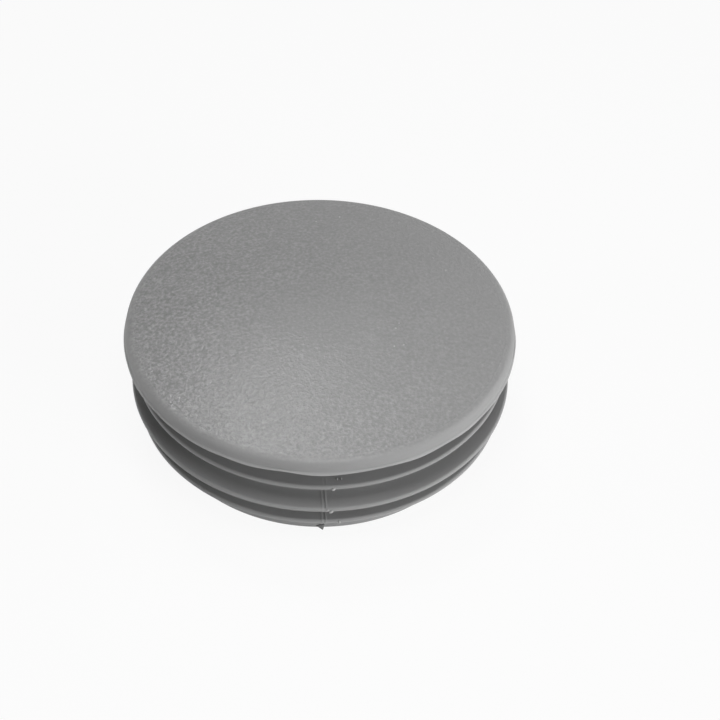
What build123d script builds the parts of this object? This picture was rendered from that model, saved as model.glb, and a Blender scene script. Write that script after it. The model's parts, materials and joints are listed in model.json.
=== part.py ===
from build123d import *
import math
import os

# Tube end cap: a one-piece, injection-moulded plastic plug that closes the end of a round tube.
# A shallow domed head covers the end of the tube and sits on it. The hollow sleeve below the head
# slides into the bore, and three thin flexible fins of different diameters wipe and grip its wall.
# Millimetres. +Z points out of the tube. The origin is the centre of the sleeve's open end.

# Head
HEAD_DIAMETER = 60.0  # the same as the tube's outside diameter
RIM_HEIGHT = 1.9  # underside of the head up to the edge of the dome, before the shoulder rounds it off
DOME_RISE = 3.0  # that edge up to the top of the dome
LIP_REACH = 0.26  # how far the lip round the head's lower edge stands out from the rim
LIP_HEIGHT = 0.38
LIP_FACE = 0.12  # upright part of that height, below the slope
SHOULDER_RADIUS = 1.05  # rounding between the dome and the upright rim
CROWN_WALL = 2.2  # thickness of the dome over the hollow

# Sleeve
SLEEVE_LENGTH = 16.7  # underside of the head down to the open end
SLEEVE_DIAMETER = 51.6  # outside diameter at the head
SLEEVE_DRAFT = 0.3  # degrees, the sleeve gets narrower towards its open end
SLEEVE_WALL = 2.1  # wall at the open end
BORE_DRAFT = 1.0  # degrees, the hollow gets narrower towards the head
LEAD_IN = 0.2  # chamfer outside the open end
MOUTH_RADIUS = 0.3  # rounding inside the open end
CEILING_RADIUS = 1.5  # rounding where the hollow meets the crown
HEAD_ROOT_RADIUS = 0.6  # rounding where the sleeve meets the head

# Fins, from the head down. A drop runs from the underside of the head to the lower edge of the tip.
TOP_FIN_DIAMETER = 57.7
TOP_FIN_DROP = 4.4
GRIP_FIN_DIAMETER = 59.0
GRIP_FIN_DROP = 8.52
PILOT_FIN_DIAMETER = 57.1
PILOT_FIN_DROP = 12.2
FIN_TIP_THICKNESS = 0.6
FIN_FLANK_SLOPE = 3.5  # degrees, each flank spreads by this towards the sleeve
FIN_ROOT_RADIUS = 0.45  # rounding where a fin meets the sleeve, at most a third of the fin's reach

# Marks of the mould
WITNESS_HEIGHT = 0.12  # how proud the line stands where the two halves of the mould meet
WITNESS_WIDTH = 0.5
GATE_DIAMETER = 2.4  # stub of the sprue, under the middle of the crown
GATE_HEIGHT = 0.6

HEAD_RADIUS = HEAD_DIAMETER / 2
RIM_RADIUS = HEAD_RADIUS - LIP_REACH
SLEEVE_RADIUS = SLEEVE_DIAMETER / 2
UNDERSIDE = SLEEVE_LENGTH
CROWN_TOP = UNDERSIDE + RIM_HEIGHT + DOME_RISE
DOME_RADIUS = (HEAD_RADIUS**2 + DOME_RISE**2) / (2 * DOME_RISE)
DOME_CENTRE = CROWN_TOP - DOME_RADIUS
CEILING_TOP = CROWN_TOP - CROWN_WALL

# Each fin is its tip's radius and the height of the tip's lower edge.
FINS = (
    (TOP_FIN_DIAMETER / 2, UNDERSIDE - TOP_FIN_DROP),
    (GRIP_FIN_DIAMETER / 2, UNDERSIDE - GRIP_FIN_DROP),
    (PILOT_FIN_DIAMETER / 2, UNDERSIDE - PILOT_FIN_DROP),
)
GRIP_RADIUS = max(radius for radius, foot in FINS)
NEAR = 0.001  # how closely a corner is matched to its place


def sleeve_radius_at(height):
    """Outside radius of the drafted sleeve, at a height above its open end."""
    return SLEEVE_RADIUS - (UNDERSIDE - height) * math.tan(math.radians(SLEEVE_DRAFT))


def bore_radius_at(height):
    """Radius of the drafted hollow, at a height above its open end."""
    mouth_radius = sleeve_radius_at(0) - SLEEVE_WALL
    return mouth_radius - height * math.tan(math.radians(BORE_DRAFT))


# Sections are drawn in the plane that holds the axis: x is the radius and y is the height.


def polygon(*corners):
    """Filled polygon through the corners."""
    return make_face(Polyline(*corners, close=True))


def ball(radius):
    """Round section about the centre of the dome, which cuts the crown to a shallow arc."""
    return Pos(0, DOME_CENTRE) * Circle(radius)


def head_section():
    """Solid head: flat seat below, lip, upright rim, rounded shoulder and shallow dome."""
    block = polygon(
        (0, UNDERSIDE),
        (HEAD_RADIUS, UNDERSIDE),
        (HEAD_RADIUS, UNDERSIDE + LIP_FACE),
        (RIM_RADIUS, UNDERSIDE + LIP_HEIGHT),
        (RIM_RADIUS, CROWN_TOP),
        (0, CROWN_TOP),
    )
    head = block & ball(DOME_RADIUS)
    corner = (RIM_RADIUS, UNDERSIDE + RIM_HEIGHT)
    return fillet(head.vertices().sort_by_distance(corner)[0], SHOULDER_RADIUS)


def sleeve_section(skin):
    """Drafted sleeve, filled to the axis, from the lead-in at its open end up into the head."""
    top = UNDERSIDE + RIM_HEIGHT / 2
    return polygon(
        (0, 0),
        (sleeve_radius_at(0) - LEAD_IN + skin, 0),
        (sleeve_radius_at(LEAD_IN) + skin, LEAD_IN),
        (sleeve_radius_at(top) + skin, top),
        (0, top),
    )


def fin_section(tip_radius, foot, skin):
    """Thin fin that tapers to a cylindrical tip. On the gripping fin a skin fades out before the tip."""
    tip_skin = skin if tip_radius < GRIP_RADIUS else -skin
    root = sleeve_radius_at(foot) - SLEEVE_WALL / 2
    spread = (tip_radius - root) * math.tan(math.radians(FIN_FLANK_SLOPE)) + skin
    tip = tip_radius + tip_skin
    top = foot + FIN_TIP_THICKNESS
    return polygon((root, foot - spread), (tip, foot - tip_skin), (tip, top + tip_skin), (root, top + spread))


def plug_section(skin=0.0):
    """Sleeve with its fins, filled to the axis, with every fin root rounded."""
    section = sleeve_section(skin)
    for tip_radius, foot in FINS:
        section += fin_section(tip_radius, foot, skin)
        reach = tip_radius - sleeve_radius_at(foot)
        middle = foot + FIN_TIP_THICKNESS / 2
        half_root = FIN_TIP_THICKNESS / 2 + reach * math.tan(math.radians(FIN_FLANK_SLOPE)) + skin
        roots = [
            corner
            for corner in section.vertices()
            if abs(corner.Y - middle) < half_root + NEAR
            and abs(corner.X - sleeve_radius_at(corner.Y) - skin) < NEAR
        ]
        section = fillet(roots, min(FIN_ROOT_RADIUS, reach / 3))
    return section


def hollow_section():
    """Open hollow inside the sleeve, with a ceiling that runs parallel to the dome."""
    cone = polygon((0, 0), (bore_radius_at(0), 0), (bore_radius_at(CROWN_TOP), CROWN_TOP), (0, CROWN_TOP))
    hollow = cone & ball(DOME_RADIUS - CROWN_WALL)
    ceiling_corner = hollow.vertices().sort_by_distance((SLEEVE_RADIUS, CROWN_TOP))[0]
    return fillet(ceiling_corner, CEILING_RADIUS)


def turned(section, arc=360.0):
    """Section swept about the axis, from half the arc before -Y to half the arc after it."""
    body = revolve(Plane.XZ * section, Axis.Z, arc)
    return Rot(Z=-90 - arc / 2) * body


def shell():
    """Cap without the marks of the mould."""
    section = plug_section() + head_section()
    root = section.vertices().sort_by_distance((SLEEVE_RADIUS, UNDERSIDE))[0]
    section = fillet(root, HEAD_ROOT_RADIUS) - hollow_section()
    mouth = section.vertices().sort_by_distance((bore_radius_at(0), 0))[0]
    return turned(fillet(mouth, MOUTH_RADIUS))


def witness_line():
    """Low ridge down the sleeve and over the fins, on both sides, where the mould closes."""
    core = sleeve_section(-SLEEVE_WALL / 2)
    open_end = polygon((0, 0), (HEAD_RADIUS, 0), (HEAD_RADIUS, 2 * LEAD_IN), (0, 2 * LEAD_IN))
    section = plug_section(WITNESS_HEIGHT) - core - open_end
    ridge = turned(section, math.degrees(WITNESS_WIDTH / SLEEVE_RADIUS))
    return ridge + Rot(Z=180) * ridge


def gate_stub():
    """Stub left where the sprue is cut off, under the middle of the crown."""
    height = GATE_HEIGHT + CROWN_WALL / 2
    stub = Cylinder(GATE_DIAMETER / 2, height, align=(Align.CENTER, Align.CENTER, Align.MIN))
    return Pos(0, 0, CEILING_TOP - GATE_HEIGHT) * stub


def end_cap():
    """The whole cap, one solid."""
    return shell() + witness_line() + gate_stub()


os.makedirs("parts", exist_ok=True)
export_step(end_cap(), "parts/end_cap.step")
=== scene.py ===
"""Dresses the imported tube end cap: a turned, finely grained polyethylene moulding on a pale floor.

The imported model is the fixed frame. Its sizes and mounts give the head, the seat and the gripping
fin, and the cap is turned again here from one half section, fine enough for close views, with the
small edges, waves and flash that a mould leaves.
"""

from __future__ import annotations

import json
import logging
import math
from dataclasses import dataclass, field
from enum import Enum

import bpy
from mathutils import Matrix, Vector

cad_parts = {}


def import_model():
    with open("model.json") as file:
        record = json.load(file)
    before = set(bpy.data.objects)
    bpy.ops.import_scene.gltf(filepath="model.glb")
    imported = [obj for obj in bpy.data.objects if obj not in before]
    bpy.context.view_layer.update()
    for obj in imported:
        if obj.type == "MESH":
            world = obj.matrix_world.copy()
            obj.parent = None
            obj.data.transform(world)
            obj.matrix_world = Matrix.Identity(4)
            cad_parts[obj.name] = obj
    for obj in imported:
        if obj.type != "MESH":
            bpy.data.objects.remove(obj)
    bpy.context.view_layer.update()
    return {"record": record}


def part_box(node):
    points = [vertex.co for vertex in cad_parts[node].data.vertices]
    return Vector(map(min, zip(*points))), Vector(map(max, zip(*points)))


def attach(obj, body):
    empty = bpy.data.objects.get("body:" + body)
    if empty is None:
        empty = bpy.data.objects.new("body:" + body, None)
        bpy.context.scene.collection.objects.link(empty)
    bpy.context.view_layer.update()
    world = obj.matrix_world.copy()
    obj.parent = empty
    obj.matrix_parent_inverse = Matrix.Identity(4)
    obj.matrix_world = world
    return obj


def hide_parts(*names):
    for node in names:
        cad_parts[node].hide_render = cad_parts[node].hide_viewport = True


LOG = logging.getLogger("end_cap")
MM = 0.001
SAME_PLACE = 1e-6
NODE = "end_cap"
BODY = "root"


class Region(Enum):
    """Stretches of the half section that the mould finishes in different ways."""

    CROWN = "crown"
    RIM = "rim"
    SEAT = "seat"
    SLEEVE = "sleeve"
    FIN = "fin"
    HOLLOW = "hollow"


@dataclass(frozen=True)
class Corner:
    """A corner of the half section, in millimetres, with the rounding that the outline takes there.

    Attributes:
        radius: Distance from the axis.
        height: Height above the open end.
        rounding: Radius of the arc that replaces the corner.
        region: Region that the outline enters at this corner.
        flex: How freely the plastic waves here, from 0 at the sleeve to 1 at a fin's tip.
    """

    radius: float
    height: float
    rounding: float
    region: Region
    flex: float = 0.0


@dataclass(frozen=True)
class Station:
    """A finished point of the half section, ready to be turned."""

    radius: float
    height: float
    region: Region
    flex: float


@dataclass(frozen=True)
class Fin:
    """One flexible fin: its tip's radius and the height of the tip's lower edge."""

    tip_radius: float
    foot: float


def mount(record: dict, name: str) -> dict:
    """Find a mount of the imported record.

    Args:
        record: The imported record.
        name: The mount's name.

    Returns:
        The mount's entry.
    """
    return next(entry for entry in record["mounts"] if entry["name"] == name)


@dataclass
class HalfSection:
    """Outline of the cap from the top of the crown, down the outside and up the hollow, in millimetres.

    Attributes:
        head_radius: Radius of the head over its lip.
        crown_top: Height of the crown's top above the open end.
        underside: Height of the seat, the head's flat underside.
        grip_radius: Radius of the gripping fin, the middle one.
        grip_foot: Height of the lower edge of its tip.
        rim_height: Height above the seat at which the dome would reach the head's radius.
        shoulder_radius: Rounding between dome and rim.
        crown_wall: Thickness under the dome.
        lip_reach: How far the lip stands out of the rim.
        lip_height: Height above the seat at which the lip leaves the rim.
        lip_face: Height above the seat of the top of the lip's face.
        lip_foot: Height above the seat of the lip's lower edge.
        lip_root: Rounding where the lip leaves the rim.
        edge: Rounding of the lip's edges.
        sleeve_radius: Outside radius of the sleeve at the seat.
        sleeve_draft: Draft of its outside, in degrees.
        sleeve_wall: Its wall at the mouth.
        bore_draft: Draft of the hollow, in degrees.
        lead_in: How far the mouth's outside is drawn in.
        lead_in_height: Height at which that starts.
        mouth_edge: Rounding of the lead-in's two edges.
        mouth_radius: Rounding of the mouth's inner edge.
        ceiling_radius: Rounding between bore and ceiling.
        head_root_radius: Rounding between seat and sleeve.
        fin_thickness: Height of a fin's tip.
        fin_slope: Slope of a fin's flanks, in degrees.
        fin_root_radius: Rounding at a fin's root.
        fin_crest: Rounding of a fin's upper edge.
        fin_edge: Rounding of its lower edge.
        gate_radius: Radius of the gate's stub.
        gate_height: Height of the stub.
        gate_edge: Rounding of its edge.
        top_fin_radius: Radius of the first fin.
        top_fin_drop: Distance from the seat down to the lower edge of its tip.
        pilot_fin_radius: Radius of the last fin.
        pilot_fin_drop: Distance from the seat down to the lower edge of its tip.
        arc_step: Largest turn between two points of a rounded corner.
        stations: The finished points.
    """

    head_radius: float
    crown_top: float
    underside: float
    grip_radius: float
    grip_foot: float
    rim_height: float = 1.9
    shoulder_radius: float = 1.05
    crown_wall: float = 2.2
    lip_reach: float = 0.26
    lip_height: float = 0.4
    lip_face: float = 0.12
    lip_foot: float = 0.05
    lip_root: float = 0.1
    edge: float = 0.04
    sleeve_radius: float = 25.8
    sleeve_draft: float = 0.3
    sleeve_wall: float = 2.1
    bore_draft: float = 1.0
    lead_in: float = 0.2
    lead_in_height: float = 0.9
    mouth_edge: float = 0.2
    mouth_radius: float = 0.3
    ceiling_radius: float = 1.5
    head_root_radius: float = 0.6
    fin_thickness: float = 0.6
    fin_slope: float = 3.5
    fin_root_radius: float = 0.45
    fin_crest: float = 0.38
    fin_edge: float = 0.1
    gate_radius: float = 1.2
    gate_height: float = 0.6
    gate_edge: float = 0.2
    top_fin_radius: float = 28.85
    top_fin_drop: float = 4.4
    pilot_fin_radius: float = 28.55
    pilot_fin_drop: float = 12.2
    arc_step: float = math.radians(15)
    stations: list[Station] = field(default_factory=list)

    @classmethod
    def from_frame(cls, record: dict) -> HalfSection:
        """Read the sizes that the frame states.

        Args:
            record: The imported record.

        Returns:
            A half section with the frame's head, seat and gripping fin.
        """
        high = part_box(NODE)[1]
        grip = mount(record, "grip_fin")
        half_tip = grip["dims"]["length_mm"] / 2
        return cls(
            head_radius=high.y / MM,
            crown_top=high.z / MM,
            underside=mount(record, "seat")["pos_m"][2] / MM,
            grip_radius=grip["dims"]["r_mm"],
            grip_foot=grip["pos_m"][2] / MM - half_tip,
        )

    @property
    def fins(self) -> tuple[Fin, Fin, Fin]:
        """The three fins, from the head down."""
        return (
            Fin(self.top_fin_radius, self.underside - self.top_fin_drop),
            Fin(self.grip_radius, self.grip_foot),
            Fin(self.pilot_fin_radius, self.underside - self.pilot_fin_drop),
        )

    @property
    def rim_radius(self) -> float:
        """Radius of the upright rim, inside its lip."""
        return self.head_radius - self.lip_reach

    @property
    def dome_radius(self) -> float:
        """Radius of the ball that the crown is cut from."""
        rise = self.crown_top - self.underside - self.rim_height
        return (self.head_radius**2 + rise**2) / (2 * rise)

    @property
    def dome_centre(self) -> float:
        """Height of that ball's centre, far below the cap."""
        return self.crown_top - self.dome_radius

    def dome_at(self, radius: float) -> float:
        """Height of the dome at a distance from the axis."""
        return self.dome_centre + math.sqrt(self.dome_radius**2 - radius**2)

    def sleeve_at(self, height: float) -> float:
        """Outside radius of the drafted sleeve at a height."""
        return self.sleeve_radius - (self.underside - height) * math.tan(math.radians(self.sleeve_draft))

    def bore_at(self, height: float) -> float:
        """Radius of the drafted hollow at a height."""
        mouth = self.sleeve_at(0) - self.sleeve_wall
        return mouth - height * math.tan(math.radians(self.bore_draft))

    def arc(self, centre: tuple[float, float], radius: float, start: float, end: float,
            steps: int, region: Region, flex: float = 0.0) -> None:
        """Add an arc about a centre.

        Args:
            centre: Radius and height of the arc's centre.
            radius: The arc's radius.
            start: First angle from straight up, towards the outside.
            end: Last angle.
            steps: How many steps the arc is drawn in.
            region: Region that the arc lies in.
            flex: How freely the plastic waves there.
        """
        for step in range(steps + 1):
            turn = start + (end - start) * step / steps
            place = (centre[0] + radius * math.sin(turn), centre[1] + radius * math.cos(turn))
            self.stations.append(Station(*place, region, flex))

    def crown(self) -> None:
        """Add the dome and the shoulder that rolls over to the rim."""
        inner = self.rim_radius - self.shoulder_radius
        reach = self.dome_radius - self.shoulder_radius
        centre = (inner, self.dome_centre + math.sqrt(reach**2 - inner**2))
        tangent = math.asin(inner / reach)
        self.arc((0, self.dome_centre), self.dome_radius, 0, tangent, steps=30, region=Region.CROWN)
        self.arc(centre, self.shoulder_radius, tangent, math.pi / 2, steps=16, region=Region.RIM, flex=0.1)

    def fin_corners(self, fin: Fin) -> list[Corner]:
        """Corners of one fin, from the sleeve above it to the sleeve below it.

        Args:
            fin: The fin.

        Returns:
            Its corners, in the outline's order.
        """
        top = fin.foot + self.fin_thickness
        spread = (fin.tip_radius - self.sleeve_at(fin.foot)) * math.tan(math.radians(self.fin_slope))
        high = top + spread
        low = fin.foot - spread
        return [
            Corner(self.sleeve_at(high), high, self.fin_root_radius, Region.FIN),
            Corner(fin.tip_radius, top, self.fin_crest, Region.FIN, 1.0),
            Corner(fin.tip_radius, fin.foot, self.fin_edge, Region.FIN, 1.0),
            Corner(self.sleeve_at(low), low, self.fin_root_radius, Region.SLEEVE),
        ]

    def outside_corners(self) -> list[Corner]:
        """Corners from the rim's lip down the sleeve to the mouth and up to the ceiling."""
        lip_top = self.underside + self.lip_height
        mouth_top = self.lead_in_height
        corners = [
            Corner(self.rim_radius, lip_top, self.lip_root, Region.RIM),
            Corner(self.head_radius, self.underside + self.lip_face, self.edge, Region.RIM),
            Corner(self.head_radius, self.underside + self.lip_foot, self.edge, Region.SEAT),
            Corner(self.sleeve_radius, self.underside, self.head_root_radius, Region.SLEEVE),
        ]
        for fin in self.fins:
            corners += self.fin_corners(fin)
        return corners + [
            Corner(self.sleeve_at(mouth_top), mouth_top, self.mouth_edge, Region.SLEEVE),
            Corner(self.sleeve_at(0) - self.lead_in, 0, self.mouth_edge, Region.SLEEVE),
            Corner(self.bore_at(0), 0, self.mouth_radius, Region.HOLLOW),
        ]

    def round_corner(self, before: Corner, corner: Corner, after: Corner) -> None:
        """Add a corner of the outline as an arc that touches both of its sides.

        Args:
            before: The corner before it.
            corner: The corner that is rounded.
            after: The corner after it.
        """
        place = Vector((corner.radius, corner.height))
        back = (Vector((before.radius, before.height)) - place).normalized()
        ahead = (Vector((after.radius, after.height)) - place).normalized()
        half = back.angle(ahead) / 2
        reach = corner.rounding / math.tan(half)
        centre = place + (back + ahead).normalized() * (corner.rounding / math.sin(half))
        start = place + back * reach - centre
        sweep = math.pi - 2 * half
        side = 1 if back.cross(ahead) < 0 else -1
        steps = max(2, math.ceil(sweep / self.arc_step))
        for step in range(steps + 1):
            turned = Matrix.Rotation(side * sweep * step / steps, 2) @ start
            self.stations.append(Station(*(centre + turned), corner.region, corner.flex))

    def hollow(self) -> None:
        """Add the bore, the rounded corner of the ceiling, the ceiling and the stub of the gate."""
        ball = self.dome_radius - self.crown_wall
        draft = math.radians(self.bore_draft)
        radius = self.ceiling_radius
        inner = self.bore_at(self.underside) - radius
        height = self.dome_centre + math.sqrt((ball - radius) ** 2 - inner**2)
        ceiling = math.asin(inner / (ball - radius))
        self.arc((inner, height), radius, math.pi / 2 - draft, ceiling, steps=8, region=Region.HOLLOW)
        gate = math.asin(self.gate_radius / ball)
        self.arc((0, self.dome_centre), ball, ceiling, gate, steps=12, region=Region.HOLLOW)
        foot = self.crown_top - self.crown_wall - self.gate_height
        bend = (self.gate_radius - self.gate_edge, foot + self.gate_edge)
        self.arc(bend, self.gate_edge, math.pi / 2, math.pi, steps=4, region=Region.HOLLOW)
        self.stations.append(Station(0, foot, Region.HOLLOW, 0))

    def support(self, spacing: float = 0.9) -> None:
        """Split the long straight stretches, so that the turned faces stay even.

        Args:
            spacing: Longest stretch that is left whole.
        """
        dense = [self.stations[0]]
        for station in self.stations[1:]:
            last = dense[-1]
            gap = math.hypot(station.radius - last.radius, station.height - last.height)
            if gap < SAME_PLACE:
                continue
            pieces = max(1, math.ceil(gap / spacing))
            for piece in range(1, pieces + 1):
                share = piece / pieces
                dense.append(Station(
                    last.radius + (station.radius - last.radius) * share,
                    last.height + (station.height - last.height) * share,
                    station.region if share > 0.5 else last.region,
                    last.flex + (station.flex - last.flex) * share,
                ))
        self.stations = dense

    def draw(self) -> list[Station]:
        """Draw the whole outline.

        Returns:
            Its points in order, from the crown's top to the middle of the ceiling.
        """
        self.stations = []
        self.crown()
        corners = self.outside_corners()
        start = Corner(self.rim_radius, self.underside + self.rim_height, 0, Region.RIM)
        end = Corner(self.bore_at(self.underside), self.underside, 0, Region.HOLLOW)
        chain = [start, *corners, end]
        for before, corner, after in zip(chain, chain[1:], chain[2:]):
            self.round_corner(before, corner, after)
        self.hollow()
        self.support()
        return self.stations


class Graph:
    """Adds and wires the nodes of one tree, with their inputs given by name."""

    def __init__(self, tree: bpy.types.NodeTree) -> None:
        """Keep the tree that the nodes go into."""
        self.tree = tree

    def node(self, kind: str, inputs: dict | None = None, **settings: object) -> bpy.types.Node:
        """Add a node.

        Args:
            kind: The node's type name.
            inputs: Values or sockets for its inputs, by name or number.
            **settings: Properties that are set before its inputs.

        Returns:
            The new node.
        """
        made = self.tree.nodes.new(kind)
        for name, value in settings.items():
            setattr(made, name, value)
        for name, value in (inputs or {}).items():
            self.feed(made.inputs[name], value)
        return made

    def feed(self, socket: bpy.types.NodeSocket, value: object) -> None:
        """Link a socket to an input, or set the input's own value."""
        if isinstance(value, bpy.types.NodeSocket):
            self.tree.links.new(value, socket)
        else:
            socket.default_value = value

    def math(self, operation: str, *values: object, clamp: bool = False) -> bpy.types.NodeSocket:
        """Add a Math node.

        Args:
            operation: Its operation.
            *values: Its inputs, sockets or numbers.
            clamp: Whether its result is kept between 0 and 1.

        Returns:
            Its result.
        """
        made = self.node("ShaderNodeMath", dict(enumerate(values)), operation=operation, use_clamp=clamp)
        return made.outputs[0]

    def whole(self, operation: str, *values: object) -> bpy.types.NodeSocket:
        """Add an Integer Math node and return its result."""
        made = self.node("FunctionNodeIntegerMath", dict(enumerate(values)), operation=operation)
        return made.outputs[0]

    def named(self, name: str, kind: str) -> bpy.types.NodeSocket:
        """Read a named attribute of the given kind and return it."""
        made = self.node("GeometryNodeInputNamedAttribute", {"Name": name}, data_type=kind)
        return made.outputs["Attribute"]

    def pick(self, mesh: bpy.types.NodeSocket, value: bpy.types.NodeSocket, index: bpy.types.NodeSocket,
             kind: str) -> bpy.types.NodeSocket:
        """Sample a value of a mesh's point.

        Args:
            mesh: The mesh.
            value: The field that is read on it.
            index: The point's number.
            kind: The value's data type.

        Returns:
            The sampled value.
        """
        inputs = {"Geometry": mesh, "Value": value, "Index": index}
        return self.node("GeometryNodeSampleIndex", inputs, data_type=kind, domain="POINT").outputs["Value"]


def note(mesh: bpy.types.Mesh, name: str, kind: str, field_name: str, values: list) -> None:
    """Write an attribute on a mesh's points.

    Args:
        mesh: The mesh.
        name: The attribute's name.
        kind: Its data type.
        field_name: The field of its data that holds a value.
        values: One number for each point, or three for each point of a vector.
    """
    mesh.attributes.new(name, kind, "POINT")
    mesh.attributes[name].data.foreach_set(field_name, values)


class FlashShape(Enum):
    """Forms that a scrap of flash takes, with the number that marks it on its point."""

    BEAD = 0
    FLAP = 1


@dataclass(frozen=True)
class FlashBit:
    """A scrap of flash that the mould left on a fin, in millimetres.

    Attributes:
        fin: Number of the fin, from the head down.
        along: Distance to the right of the cap's front, along the fin's tip.
        drop: How far its middle hangs below the fin's lower edge.
        proud: How far its middle stands outside the fin's tip.
        size: Half its width, depth and height.
        lean: Turn about its own outward direction, in degrees.
        tip: Turn that faces it downwards, in degrees.
        tone: How much paler than the moulding it is, as a share, or how much darker where it is negative;
            the darkening is painted shade.
        shape: Its form.
    """

    fin: int
    along: float
    drop: float
    proud: float
    size: tuple[float, float, float]
    lean: float = 0.0
    tip: float = 0.0
    tone: float = 0.4
    shape: FlashShape = FlashShape.BEAD


@dataclass(frozen=True)
class Pimple:
    """A pale pimple that a pit in the mould printed on the crown, in millimetres.

    Attributes:
        x: Its place to the right of the axis.
        y: Its place behind the axis.
        size: Half its width, depth and height.
        tone: How much paler than the moulding it is, as a share.
    """

    x: float
    y: float
    size: tuple[float, float, float] = (0.17, 0.12, 0.03)
    tone: float = 0.45


@dataclass(frozen=True)
class Swell:
    """One wave of the ripple along the lip's lower edge.

    Attributes:
        waves: How many waves go round the cap.
        share: Its height as a share of the whole ripple.
        phase: Where it starts, in degrees of the wave, at the cap's front.
    """

    waves: int
    share: float
    phase: float


FLASH = (
    FlashBit(fin=0, along=1.14, drop=-0.1, proud=0.02, size=(0.3, 0.18, 0.24), lean=-30, tone=0.55),
    FlashBit(fin=0, along=1.8, drop=-0.74, proud=-1.35, size=(0.1, 0.2, 0.13), tone=0.3),
    FlashBit(fin=0, along=2.42, drop=-0.74, proud=-1.35, size=(0.1, 0.2, 0.13), tone=0.3),
    FlashBit(fin=1, along=0.9, drop=-0.06, proud=0.02, size=(0.38, 0.18, 0.2), lean=-40, tone=0.55),
    FlashBit(fin=1, along=0.42, drop=-0.42, proud=0.0, size=(0.14, 0.12, 0.18)),
    FlashBit(fin=2, along=2.15, drop=-0.1, proud=0.0, size=(0.15, 0.14, 0.34), tone=0.35),
    # The hanging flap's dark tone is painted shade, the shade under the lowest fin.
    FlashBit(fin=2, along=-0.66, drop=0.4, proud=-0.1, size=(0.66, 0.1, 0.78), lean=166, tip=-12,
             tone=-0.65, shape=FlashShape.FLAP),
)
PIMPLES = (
    Pimple(-0.16, 21.97),
    Pimple(3.7, 23.4, (0.14, 0.2, 0.03)),
    Pimple(19.9, 9.62, (0.12, 0.2, 0.03)),
    Pimple(11.12, -4.71),
    Pimple(10.69, -8.47, (0.12, 0.2, 0.03)),
    Pimple(11.7, -3.6, (0.1, 0.1, 0.03)),
    Pimple(12.1, -8.1, (0.14, 0.12, 0.03)),
)
RIPPLE = (
    Swell(waves=11, share=0.82, phase=-86),
    Swell(waves=16, share=0.95, phase=-104),
    Swell(waves=23, share=0.51, phase=-6),
)


@dataclass(frozen=True)
class TreeInput:
    """A named input of the turning tree: its socket's type and the value that the cap gives it."""

    name: str
    kind: str
    value: object


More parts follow.
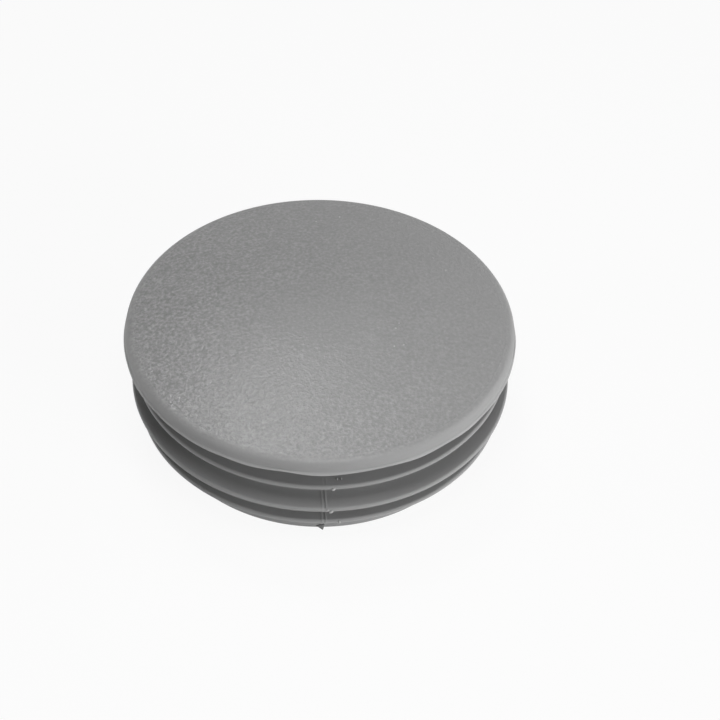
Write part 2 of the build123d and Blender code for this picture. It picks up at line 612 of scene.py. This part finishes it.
@dataclass
class EndCap:
    """The moulded cap: a half section turned about the axis, with the marks that the mould leaves.

    Lengths are in millimetres.

    Attributes:
        section: The half section.
        turns: How many steps the turn is made in.
        crowding: How much closer the steps lie at the witness lines than at the sides.
        witness_height: Height of the witness line's two crests.
        witness_width: Width of the line over both crests.
        witness_dip: Depth of the dip between them, as a share of their height.
        dip_width: Width of the dip as a share of the line's.
        witness_fade: Share of the line that is left above the first fin.
        witness_shift: How far the line lies to the left of the cap's front.
        wave: How far a fin's tip may wave.
        wave_inward: Level of the wave's noise that leaves a fin at its full radius.
        wave_scale: How fast the waves change round the cap.
        wave_apart: How fast they change from fin to fin, for each metre of height.
        seed: Seed of the waves.
        fin_shift: How far the fins' tips are bent to the right.
        ripple: Height of the ripple along the lip.
        lip_band: Height of the lip's rippled band above the seat.
        lip_clear: Least distance of that band outside the rim.
        lip_painted_highlight: How much paler the lip is painted, as a share of the grey: a painted highlight
            along the head's lower edge.
        pilot_painted_highlight: How much paler the lower edge of the last fin is painted: a painted
            highlight along that edge.
        grain_start: Radius at which the crown's grain begins to fade.
        grain_end: Radius at which it has gone.
        weld: Distance within which the seam's and the poles' points are merged.
    """

    section: HalfSection
    turns: int = 300
    crowding: float = 0.9
    witness_height: float = 0.085
    witness_width: float = 0.95
    witness_dip: float = 1.0
    dip_width: float = 0.5
    witness_fade: float = 0.4
    witness_shift: float = 0.26
    wave: float = 0.16
    wave_inward: float = 0.75
    wave_scale: float = 1.6
    wave_apart: float = 150.0
    seed: float = 3.0
    fin_shift: float = 0.13
    ripple: float = 0.1
    lip_band: float = 0.3
    lip_clear: float = 0.02
    # The lip and the last fin's lower edge are painted paler: painted highlights along those edges.
    lip_painted_highlight: float = 0.3
    pilot_painted_highlight: float = 0.3
    grain_start: float = 28.3
    grain_end: float = 29.6
    weld: float = 0.002

    def skin_of(self, before: Station, station: Station, after: Station) -> tuple[float, float, float]:
        """Direction in which the witness line stands proud at a point.

        Args:
            before: The point before it.
            station: The point.
            after: The point after it.

        Returns:
            The outward direction, or nothing where the mould's halves don't meet.
        """
        if station.region not in (Region.SLEEVE, Region.FIN) or station.height < 2 * self.section.lead_in:
            return (0.0, 0.0, 0.0)
        run = Vector((after.radius - before.radius, after.height - before.height)).normalized()
        if station.height > self.section.fins[0].foot:
            run *= self.witness_fade
        return (-run.y, 0.0, run.x)

    def grain_of(self, station: Station) -> float:
        """How much of the crown's grain a point carries, from 0 to 1."""
        if station.region not in (Region.CROWN, Region.RIM):
            return 0.0
        share = (self.grain_end - station.radius) / (self.grain_end - self.grain_start)
        return min(1.0, max(0.0, share))

    def on_lip(self, station: Station) -> bool:
        """Whether a point lies on the lip round the head's lower edge."""
        low = station.height < self.section.underside + self.lip_band
        return low and station.radius > self.section.rim_radius + self.lip_clear

    def painted_highlight_of(self, station: Station) -> float:
        """How much paler a point is painted, as a share of its grey: a painted highlight on the lip and on
        the last fin's lower edge.
        """
        if self.on_lip(station):
            return self.lip_painted_highlight
        pilot_edge = self.section.fins[2].foot + self.section.fin_edge
        return self.pilot_painted_highlight if station.flex == 1.0 and station.height < pilot_edge else 0.0

    def section_mesh(self) -> bpy.types.Mesh:
        """Lay the half section out as a line of points, with what each point carries."""
        line = self.section.draw()
        places = [(p.radius * MM, 0.0, p.height * MM) for p in line]
        mesh = bpy.data.meshes.new("half_section")
        mesh.from_pydata(places, [(n, n + 1) for n in range(len(places) - 1)], [])
        ends = [line[0], *line, line[-1]]
        skins = [self.skin_of(ends[n], station, ends[n + 2]) for n, station in enumerate(line)]
        note(mesh, "skin", "FLOAT_VECTOR", "vector", [part for skin in skins for part in skin])
        note(mesh, "grain", "FLOAT", "value", [self.grain_of(station) for station in line])
        note(mesh, "flex", "FLOAT", "value", [station.flex for station in line])
        note(mesh, "ripple", "FLOAT", "value", [float(self.on_lip(station)) for station in line])
        note(mesh, "tone", "FLOAT", "value", [self.painted_highlight_of(station) for station in line])
        return mesh

    def flash_mesh(self) -> bpy.types.Mesh:
        """Lay the scraps of flash and the pimples out as points, with what each point carries."""
        places = []
        turns = []
        for bit in FLASH:
            fin = self.section.fins[bit.fin]
            out = (fin.tip_radius + bit.proud) * MM
            round_axis = bit.along / fin.tip_radius
            height = (fin.foot - bit.drop) * MM
            places.append((out * math.sin(round_axis), -out * math.cos(round_axis), height))
            turns += [math.radians(bit.tip), math.radians(bit.lean), round_axis]
        for spot in PIMPLES:
            height = self.section.dome_at(math.hypot(spot.x, spot.y))
            places.append((spot.x * MM, spot.y * MM, height * MM))
            turns += [0.0, 0.0, 0.0]
        marks = (*FLASH, *PIMPLES)
        shapes = [bit.shape.value for bit in FLASH] + [FlashShape.BEAD.value] * len(PIMPLES)
        mesh = bpy.data.meshes.new("flash_points")
        mesh.from_pydata(places, [], [])
        note(mesh, "size", "FLOAT_VECTOR", "vector", [length * MM for mark in marks for length in mark.size])
        note(mesh, "turn", "FLOAT_VECTOR", "vector", turns)
        note(mesh, "tone", "FLOAT", "value", [mark.tone for mark in marks])
        note(mesh, "shape", "INT", "value", shapes)
        return mesh

    def inputs(self, flash: bpy.types.Object, material: bpy.types.Material) -> tuple[TreeInput, ...]:
        """List the turning tree's inputs after the section itself.

        Args:
            flash: The object that carries the flash points.
            material: The cap's finish.

        Returns:
            The inputs, with lengths in metres.
        """
        numbers = {
            "Crowding": self.crowding,
            "Witness Height": self.witness_height * MM,
            "Witness Width": self.witness_width / 2 * MM,
            "Witness Dip": self.witness_dip,
            "Witness Shift": self.witness_shift * MM,
            "Wave": self.wave * MM,
            "Wave Scale": self.wave_scale,
            "Seed": self.seed,
            "Fin Shift": self.fin_shift * MM,
            "Ripple": self.ripple * MM,
        }
        return (
            TreeInput("Turns", "NodeSocketInt", self.turns),
            *(TreeInput(name, "NodeSocketFloat", value) for name, value in numbers.items()),
            TreeInput("Flash", "NodeSocketObject", flash),
            TreeInput("Material", "NodeSocketMaterial", material),
        )

    def turning_tree(self, inputs: tuple[TreeInput, ...]) -> bpy.types.NodeTree:
        """Build the geometry nodes that turn the section and add the flash.

        Args:
            inputs: The tree's inputs after the section itself.

        Returns:
            The tree, with its sizes as named inputs.
        """
        tree = bpy.data.node_groups.new("turned_moulding", "GeometryNodeTree")
        tree.interface.new_socket(name="Section", in_out="INPUT", socket_type="NodeSocketGeometry")
        for entry in inputs:
            tree.interface.new_socket(name=entry.name, in_out="INPUT", socket_type=entry.kind)
        tree.interface.new_socket(name="Moulding", in_out="OUTPUT", socket_type="NodeSocketGeometry")
        graph = Graph(tree)
        given = graph.node("NodeGroupInput").outputs
        turned = self.turn_nodes(graph, given)
        joined = graph.node("GeometryNodeJoinGeometry")
        for piece in (*self.flash_nodes(graph, given), turned):
            tree.links.new(piece, joined.inputs[0])
        smooth = graph.node("GeometryNodeSetShadeSmooth", {"Geometry": joined.outputs[0]})
        real = graph.node("GeometryNodeRealizeInstances", {"Geometry": smooth.outputs[0]})
        finish = {"Geometry": real.outputs[0], "Material": given["Material"]}
        dressed = graph.node("GeometryNodeSetMaterial", finish)
        graph.node("NodeGroupOutput", {"Moulding": dressed.outputs[0]})
        return tree

    def turn_nodes(self, graph: Graph, given: bpy.types.bpy_prop_collection) -> bpy.types.NodeSocket:
        """Add the nodes that carry the section round the axis.

        Args:
            graph: The tree's graph.
            given: The tree's inputs.

        Returns:
            The turned surface, closed at its seam and its poles.
        """
        section = given["Section"]
        size = graph.node("GeometryNodeAttributeDomainSize", {"Geometry": section})
        across = graph.whole("ADD", given["Turns"], 1)
        counts = {"Vertices X": size.outputs["Point Count"], "Vertices Y": across}
        grid = graph.node("GeometryNodeMeshGrid", counts).outputs["Mesh"]
        index = graph.node("GeometryNodeInputIndex").outputs[0]
        row = graph.whole("DIVIDE_FLOOR", index, across)
        step = graph.whole("MODULO", index, across)
        share = graph.math("DIVIDE", step, given["Turns"])
        lean = graph.math("SINE", graph.math("MULTIPLY", share, 4 * math.pi))
        crowd = graph.math("MULTIPLY", graph.math("MULTIPLY", given["Crowding"], 0.5), lean)
        plain = graph.math("MULTIPLY_ADD", share, 2 * math.pi, -math.pi / 2)
        angle = graph.math("SUBTRACT", plain, crowd)
        cosine = graph.math("COSINE", angle)
        sine = graph.math("SINE", angle)
        position = graph.node("GeometryNodeInputPosition").outputs[0]
        place = graph.pick(section, position, row, "FLOAT_VECTOR")
        skin = graph.pick(section, graph.named("skin", "FLOAT_VECTOR"), row, "FLOAT_VECTOR")
        flex = graph.pick(section, graph.named("flex", "FLOAT"), row, "FLOAT")
        grain = graph.pick(section, graph.named("grain", "FLOAT"), row, "FLOAT")
        # tone carries the painted highlights of the lip and the last fin's lower edge.
        tone = graph.pick(section, graph.named("tone", "FLOAT"), row, "FLOAT")
        start = graph.node("ShaderNodeSeparateXYZ", {0: place}).outputs
        proud = graph.node("ShaderNodeSeparateXYZ", {0: skin}).outputs
        beside = graph.math("MULTIPLY_ADD", start["X"], cosine, given["Witness Shift"])
        sideways = graph.math("DIVIDE", beside, given["Witness Width"])
        across_line = graph.math("MULTIPLY", sideways, sideways)
        hump = graph.math("SUBTRACT", 1.0, across_line, clamp=True)
        groove = graph.math("MULTIPLY_ADD", across_line, -1 / self.dip_width**2, 1.0, clamp=True)
        hump = graph.math("SUBTRACT", hump, graph.math("MULTIPLY", groove, given["Witness Dip"]))
        ridge = graph.math("MULTIPLY", hump, given["Witness Height"])
        level = graph.math("MULTIPLY", start["Z"], self.wave_apart)
        ring = graph.node("ShaderNodeCombineXYZ", {0: cosine, 1: sine, 2: level})
        inputs = {"Vector": ring.outputs[0], "W": given["Seed"], "Scale": given["Wave Scale"], "Detail": 2.0}
        noise = graph.node("ShaderNodeTexNoise", inputs, noise_dimensions="4D").outputs["Color"]
        drift = graph.node("ShaderNodeSeparateXYZ", {0: noise}).outputs
        loose = graph.math("MULTIPLY", flex, given["Wave"])
        radius = graph.math("MULTIPLY_ADD", proud["X"], ridge, start["X"])
        inward = graph.math("MULTIPLY", graph.math("SUBTRACT", drift["X"], self.wave_inward), loose)
        radius = graph.math("ADD", radius, inward)
        height = graph.math("MULTIPLY_ADD", proud["Z"], ridge, start["Z"])
        height = graph.math("MULTIPLY_ADD", graph.math("SUBTRACT", drift["Y"], 0.5), loose, height)
        ripple = self.ripple_nodes(graph, given, angle, row)
        height = graph.math("MULTIPLY_ADD", ripple, given["Ripple"], height)
        bent = graph.math("MULTIPLY", flex, given["Fin Shift"])
        spot = graph.node("ShaderNodeCombineXYZ", {
            0: graph.math("MULTIPLY_ADD", radius, cosine, bent),
            1: graph.math("MULTIPLY", radius, sine),
            2: height,
        })
        marked = grid
        for name, value in (("grain", grain), ("tone", tone)):
            kept = {"Geometry": marked, "Name": name, "Value": value}
            store = graph.node("GeometryNodeStoreNamedAttribute", kept, data_type="FLOAT", domain="POINT")
            marked = store.outputs[0]
        shaped = graph.node("GeometryNodeSetPosition", {"Geometry": marked, "Position": spot.outputs[0]})
        merged = {"Geometry": shaped.outputs[0], "Distance": self.weld * MM}
        return graph.node("GeometryNodeMergeByDistance", merged).outputs[0]

    def ripple_nodes(self, graph: Graph, given: bpy.types.bpy_prop_collection, angle: bpy.types.NodeSocket,
                     row: bpy.types.NodeSocket) -> bpy.types.NodeSocket:
        """Add the nodes that ripple the lip's lower edge.

        Args:
            graph: The tree's graph.
            given: The tree's inputs.
            angle: Angle round the axis.
            row: Number of the section's point.

        Returns:
            The ripple, between -1 and 1 or a little over.
        """
        lip = graph.pick(given["Section"], graph.named("ripple", "FLOAT"), row, "FLOAT")
        total = None
        for swell in RIPPLE:
            start = swell.waves * math.pi / 2 + math.radians(swell.phase)
            wave = graph.math("SINE", graph.math("MULTIPLY_ADD", angle, float(swell.waves), start))
            wave = graph.math("MULTIPLY", wave, swell.share)
            total = wave if total is None else graph.math("ADD", total, wave)
        return graph.math("MULTIPLY", total, lip)

    def flash_nodes(self, graph: Graph, given: bpy.types.bpy_prop_collection) -> list[bpy.types.NodeSocket]:
        """Add the nodes that set a scrap of flash on each flash point.

        Args:
            graph: The tree's graph.
            given: The tree's inputs.

        Returns:
            The beads and the flaps, as instances.
        """
        points = graph.node("GeometryNodeObjectInfo", {"Object": given["Flash"]}).outputs["Geometry"]
        bead = graph.node("GeometryNodeMeshIcoSphere", {"Radius": 1.0, "Subdivisions": 3}).outputs["Mesh"]
        cone = {"Vertices": 20, "Side Segments": 6, "Radius Top": 0.12, "Radius Bottom": 1.0, "Depth": 2.0}
        flap = graph.node("GeometryNodeMeshCone", cone).outputs["Mesh"]
        placed = []
        for shape, scrap in ((FlashShape.BEAD, bead), (FlashShape.FLAP, flap)):
            chosen = graph.node("FunctionNodeCompare", {2: graph.named("shape", "INT"), 3: shape.value},
                                data_type="INT", operation="EQUAL").outputs[0]
            placed.append(graph.node("GeometryNodeInstanceOnPoints", {
                "Points": points,
                "Selection": chosen,
                "Instance": scrap,
                "Rotation": graph.named("turn", "FLOAT_VECTOR"),
                "Scale": graph.named("size", "FLOAT_VECTOR"),
            }).outputs[0])
        return placed

    def build(self, material: bpy.types.Material) -> bpy.types.Object:
        """Make the cap's mesh.

        Args:
            material: The cap's finish.

        Returns:
            The finished object, at the origin.
        """
        source = bpy.data.objects.new("section_line", self.section_mesh())
        flash = bpy.data.objects.new("flash_points", self.flash_mesh())
        scene = bpy.context.scene
        scene.collection.objects.link(source)
        scene.collection.objects.link(flash)
        inputs = self.inputs(flash, material)
        tree = self.turning_tree(inputs)
        modifier = source.modifiers.new("turn", "NODES")
        modifier.node_group = tree
        values = {entry.name: entry.value for entry in inputs}
        for item in tree.interface.items_tree:
            if item.in_out == "INPUT" and item.name in values:
                modifier[item.identifier] = values[item.name]
        evaluated = source.evaluated_get(bpy.context.evaluated_depsgraph_get())
        mesh = bpy.data.meshes.new_from_object(evaluated)
        for spare in (source, flash):
            bpy.data.objects.remove(spare)
        mesh.name = "moulded_cap"
        cap = bpy.data.objects.new("moulded_cap", mesh)
        scene.collection.objects.link(cap)
        return cap


@dataclass(frozen=True)
class GrainedPolyethylene:
    """Grey moulded polyethylene: spark-eroded grain on the crown, none on the parts below.

    Attributes:
        grey: Diffuse colour of the plastic, the same in red, green and blue.
        sheen: Specular level of the whole moulding.
        crown_roughness: Roughness of the grained crown.
        smooth_roughness: Roughness of the sleeve, fins and rim.
        grain_scale: Grains for each metre.
        grain_depth: Depth of the grain, in metres.
        plain_depth: Share of that depth that the ungrained surfaces carry too.
        worn: Share of the grain that is left at a rubbed place.
        worn_from: Distance from the crown's middle at which the grain's depth begins to recover, in metres.
        whole_from: Distance from a rubbed middle at which the grain is whole, in metres.
        rubbed: Middle of the patch where the flecks are weakest, in metres.
        rubbed_from: Distance from that middle at which the flecks begin to recover, in metres.
        lean: How fast the flecks get stronger along each axis, for each metre: stronger towards the left and
            front, where light glances, so that part of their contrast is painted glints.
        fleck_and_glint: How much lighter the grain's tops are than its pits, as a share of the grey: partly
            the grain's own colour, partly painted glints.
        fleck_mean: Mean of the grain's noise, so that the flecks leave the mean grey as it is.
        cloud_scale: Soft clouds in the plastic for each metre.
        cloud_tint: How much the clouds change the grey, as a share of it.
        cloud_rough: How much the clouds change the roughness.
    """

    grey: float = 0.27
    sheen: float = 0.5
    crown_roughness: float = 0.25
    smooth_roughness: float = 0.55
    grain_scale: float = 2000.0
    grain_depth: float = 0.00012
    plain_depth: float = 0.1
    worn: float = 0.5
    worn_from: float = 0.004
    whole_from: float = 0.018
    rubbed: tuple[float, float, float] = (-0.002, -0.008, 0.0)
    rubbed_from: float = 0.006
    lean: tuple[float, float, float] = (-26.0, -10.0, 0.0)
    fleck_and_glint: float = 0.95
    fleck_mean: float = 0.26
    cloud_scale: float = 110.0
    cloud_tint: float = 0.12
    cloud_rough: float = 0.1

    def wear(self, graph: Graph, place: bpy.types.NodeSocket, middle: tuple[float, float, float],
             start: float) -> bpy.types.NodeSocket:
        """Work out how much of the grain is left: part of it at a rubbed place, all of it further out.

        Args:
            graph: The material's graph.
            place: Object coordinates.
            middle: Middle of the rubbed place, in metres.
            start: Distance from the middle at which the grain begins to recover, in metres.

        Returns:
            The share that is left, from worn to 1.
        """
        flat = graph.node("ShaderNodeVectorMath", {0: place, 1: (1.0, 1.0, 0.0)}, operation="MULTIPLY")
        ends = {0: flat.outputs[0], 1: middle}
        away = graph.node("ShaderNodeVectorMath", ends, operation="DISTANCE").outputs["Value"]
        bounds = {"Value": away, "From Min": start, "From Max": self.whole_from,
                  "To Min": self.worn, "To Max": 1.0}
        return graph.node("ShaderNodeMapRange", bounds, interpolation_type="SMOOTHSTEP").outputs["Result"]

    def build(self) -> bpy.types.Material:
        """Make the material.

        Returns:
            A node material on object coordinates.
        """
        material = bpy.data.materials.new("grained_polyethylene")
        material.use_nodes = True
        graph = Graph(material.node_tree)
        shader = material.node_tree.nodes["Principled BSDF"]
        place = graph.node("ShaderNodeTexCoord").outputs["Object"]
        grain = graph.node("ShaderNodeAttribute", attribute_name="grain").outputs["Fac"]
        clouds = {"Vector": place, "Scale": self.cloud_scale, "Detail": 3.0}
        cloud = graph.math("SUBTRACT", graph.node("ShaderNodeTexNoise", clouds).outputs["Fac"], 0.5)
        grains = {"Vector": place, "Scale": self.grain_scale, "Detail": 2.0, "Roughness": 0.6}
        fine = graph.math("POWER", graph.node("ShaderNodeTexNoise", grains).outputs["Fac"], 2.0)
        tint = graph.math("MULTIPLY_ADD", cloud, self.cloud_tint * self.grey, self.grey)
        # The tone attribute paints the lip and the last fin's lower edge paler, as painted highlights, and
        # the hanging flap darker, as painted shade; on the beads and pimples it makes them paler.
        tone = graph.node("ShaderNodeAttribute", attribute_name="tone").outputs["Fac"]
        tint = graph.math("MULTIPLY_ADD", tone, self.grey, tint)
        relief = graph.math("MULTIPLY", grain, self.wear(graph, place, (0.0, 0.0, 0.0), self.worn_from))
        # Fleck strength: weakest about the rubbed middle and stronger towards the left and front, where
        # light glances, so the pale flecks are partly painted glints.
        fleck_and_glint_share = graph.math("MULTIPLY", grain, self.wear(graph, place, self.rubbed, self.rubbed_from))
        slope = {0: place, 1: self.lean}
        slant = graph.node("ShaderNodeVectorMath", slope, operation="DOT_PRODUCT").outputs["Value"]
        fleck_and_painted_glint_strength = graph.math("MULTIPLY", fleck_and_glint_share, graph.math("ADD", slant, 1.0))
        fleck_and_glint = graph.math("MULTIPLY", graph.math("SUBTRACT", fine, self.fleck_mean), fleck_and_painted_glint_strength)
        tint = graph.math("MULTIPLY_ADD", fleck_and_glint, self.fleck_and_glint * self.grey, tint)
        colour = graph.node("ShaderNodeCombineColor", {0: tint, 1: tint, 2: tint}).outputs[0]
        graph.feed(shader.inputs["Base Color"], colour)
        shader.inputs["Specular IOR Level"].default_value = self.sheen
        spread = self.crown_roughness - self.smooth_roughness
        rough = graph.math("MULTIPLY_ADD", grain, spread, self.smooth_roughness)
        rough = graph.math("MULTIPLY_ADD", cloud, self.cloud_rough, rough)
        graph.feed(shader.inputs["Roughness"], rough)
        plain = self.grain_depth * self.plain_depth
        depth = graph.math("MULTIPLY_ADD", relief, self.grain_depth - plain, plain)
        height = graph.math("MULTIPLY", fine, depth)
        bump = graph.node("ShaderNodeBump", {"Height": height, "Strength": 1.0, "Distance": 1.0})
        graph.feed(shader.inputs["Normal"], bump.outputs[0])
        return material


@dataclass(frozen=True)
class SoftBox:
    """A square area lamp that faces the cap.

    Attributes:
        name: Its name.
        place: Where it hangs, in metres.
        side: Length of its side, in metres.
        power: What it gives, in watts.
        mirrored: Whether gloss shows it. The low lamps would whiten the crown in views from the side.
    """

    name: str
    place: tuple[float, float, float]
    side: float
    power: float
    mirrored: bool = True

    def hang(self, target: Vector) -> bpy.types.Object:
        """Hang the lamp.

        Args:
            target: The point that it faces.

        Returns:
            The lamp.
        """
        data = bpy.data.lights.new(self.name, "AREA")
        data.shape = "SQUARE"
        data.size = self.side
        data.energy = self.power
        lamp = bpy.data.objects.new(self.name, data)
        lamp.location = self.place
        lamp.rotation_euler = (target - Vector(self.place)).to_track_quat("-Z", "Y").to_euler()
        lamp.visible_glossy = self.mirrored
        bpy.context.scene.collection.objects.link(lamp)
        return lamp


SOFT_BOXES = (
    SoftBox("front_right", (0.42, -0.42, 0.118), 0.3, 3.04, mirrored=False),
    SoftBox("right", (0.591, 0.0, 0.118), 0.3, 1.48, mirrored=False),
    SoftBox("left", (-0.591, 0.0, 0.118), 0.15, 0.94, mirrored=False),
    SoftBox("back", (0.0, 0.3, 0.538), 0.3, 0.32),
    SoftBox("sheen", (-0.086, 0.24, 0.56), 0.1, 0.5),
    SoftBox("near", (0.0, -0.06, 0.196), 0.08, 0.142),
)


@dataclass(frozen=True)
class Studio:
    """Pale floor, white surround and the camera.

    Attributes:
        floor_half: Half the floor's side, in metres.
        floor_sink: How far the floor lies below the open end, in metres, so that the two don't coincide.
        floor_white: The floor's own colour.
        lift: Share of pure white in the floor where it is seen.
        lens: The camera's focal length, in millimetres.
        distance: Its distance from the middle of the seat, in metres.
        elevation: Its height over the seat's plane, in degrees.
        aim: The point of that plane that it looks at, in metres.
        roll: Its turn about its own axis, in degrees.
        swing: Turn of place and aim about the cap's axis, in degrees.
    """

    floor_half: float = 3.0
    floor_sink: float = 0.00001
    floor_white: float = 0.8
    lift: float = 0.92
    lens: float = 78.016
    distance: float = 0.239942
    elevation: float = 43.129
    aim: tuple[float, float] = (0.006017, -0.006731)
    roll: float = 2.1645
    swing: float = -2.0

    def seen(self, graph: Graph) -> bpy.types.NodeSocket:
        """Whether a ray comes from the camera, a reflection or a refraction: 1 or 0."""
        path = graph.node("ShaderNodeLightPath").outputs
        either = graph.math("MAXIMUM", path["Is Camera Ray"], path["Is Glossy Ray"])
        return graph.math("MAXIMUM", either, path["Is Transmission Ray"])

    def surround(self) -> None:
        """Make the world: white where it is seen, with no light of its own on the cap."""
        world = bpy.data.worlds.new("surround")
        world.use_nodes = True
        bpy.context.scene.world = world
        graph = Graph(world.node_tree)
        background = world.node_tree.nodes["Background"]
        background.inputs["Color"].default_value = (1, 1, 1, 1)
        graph.feed(background.inputs["Strength"], self.seen(graph))

    def floor(self) -> bpy.types.Object:
        """Lay the floor, which keeps the cap's shadow but looks almost white."""
        half, low = self.floor_half, -self.floor_sink
        corners = [(-half, -half, low), (half, -half, low), (half, half, low), (-half, half, low)]
        mesh = bpy.data.meshes.new("floor")
        mesh.from_pydata(corners, [], [(0, 1, 2, 3)])
        material = bpy.data.materials.new("pale_floor")
        material.use_nodes = True
        tree = material.node_tree
        graph = Graph(tree)
        tree.nodes.remove(tree.nodes["Principled BSDF"])
        white = self.floor_white
        matt = graph.node("ShaderNodeBsdfDiffuse", {"Color": (white, white, white, 1)}).outputs[0]
        glow = graph.node("ShaderNodeEmission", {"Color": (1, 1, 1, 1), "Strength": 1.0}).outputs[0]
        share = graph.math("MULTIPLY", self.seen(graph), self.lift)
        mixed = graph.node("ShaderNodeMixShader", {0: share, 1: matt, 2: glow}).outputs[0]
        graph.feed(tree.nodes["Material Output"].inputs["Surface"], mixed)
        mesh.materials.append(material)
        floor = bpy.data.objects.new("floor", mesh)
        bpy.context.scene.collection.objects.link(floor)
        return floor

    def camera(self, seat: float) -> bpy.types.Object:
        """Set the camera up.

        Args:
            seat: Height of the head's underside, which the camera's distance and elevation start from.

        Returns:
            The camera.
        """
        tilt = math.radians(self.elevation)
        swing = Matrix.Rotation(math.radians(self.swing), 3, "Z")
        centre = Vector((0, 0, seat))
        place = swing @ (Vector((0, -math.cos(tilt), math.sin(tilt))) * self.distance) + centre
        ahead = (swing @ Vector((*self.aim, 0)) + centre - place).normalized()
        level = ahead.cross(Vector((0, 0, 1))).normalized()
        upright = level.cross(ahead)
        roll = math.radians(self.roll)
        right = level * math.cos(roll) + upright * math.sin(roll)
        above = upright * math.cos(roll) - level * math.sin(roll)
        turn = Matrix((right, above, -ahead)).transposed().to_4x4()
        data = bpy.data.cameras.new("camera")
        data.lens = self.lens
        data.sensor_width = 36.0
        data.clip_start = 0.01
        camera = bpy.data.objects.new("camera", data)
        camera.matrix_world = Matrix.Translation(place) @ turn
        bpy.context.scene.collection.objects.link(camera)
        bpy.context.scene.camera = camera
        return camera


def main() -> None:
    """Load the frame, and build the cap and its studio."""
    logging.basicConfig(level=logging.INFO, format="%(message)s")
    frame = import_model()
    section = HalfSection.from_frame(frame["record"])
    cap = EndCap(section).build(GrainedPolyethylene().build())
    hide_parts(NODE)
    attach(cap, BODY)
    LOG.info("%s: %d faces on body %s", cap.name, len(cap.data.polygons), BODY)
    studio = Studio()
    studio.surround()
    studio.floor()
    seat = section.underside * MM
    studio.camera(seat)
    for box in SOFT_BOXES:
        box.hang(Vector((0, 0, seat)))
        LOG.info("lamp %s hung", box.name)
    bpy.context.scene.view_settings.view_transform = "Standard"


if __name__ == "__main__":
    main()
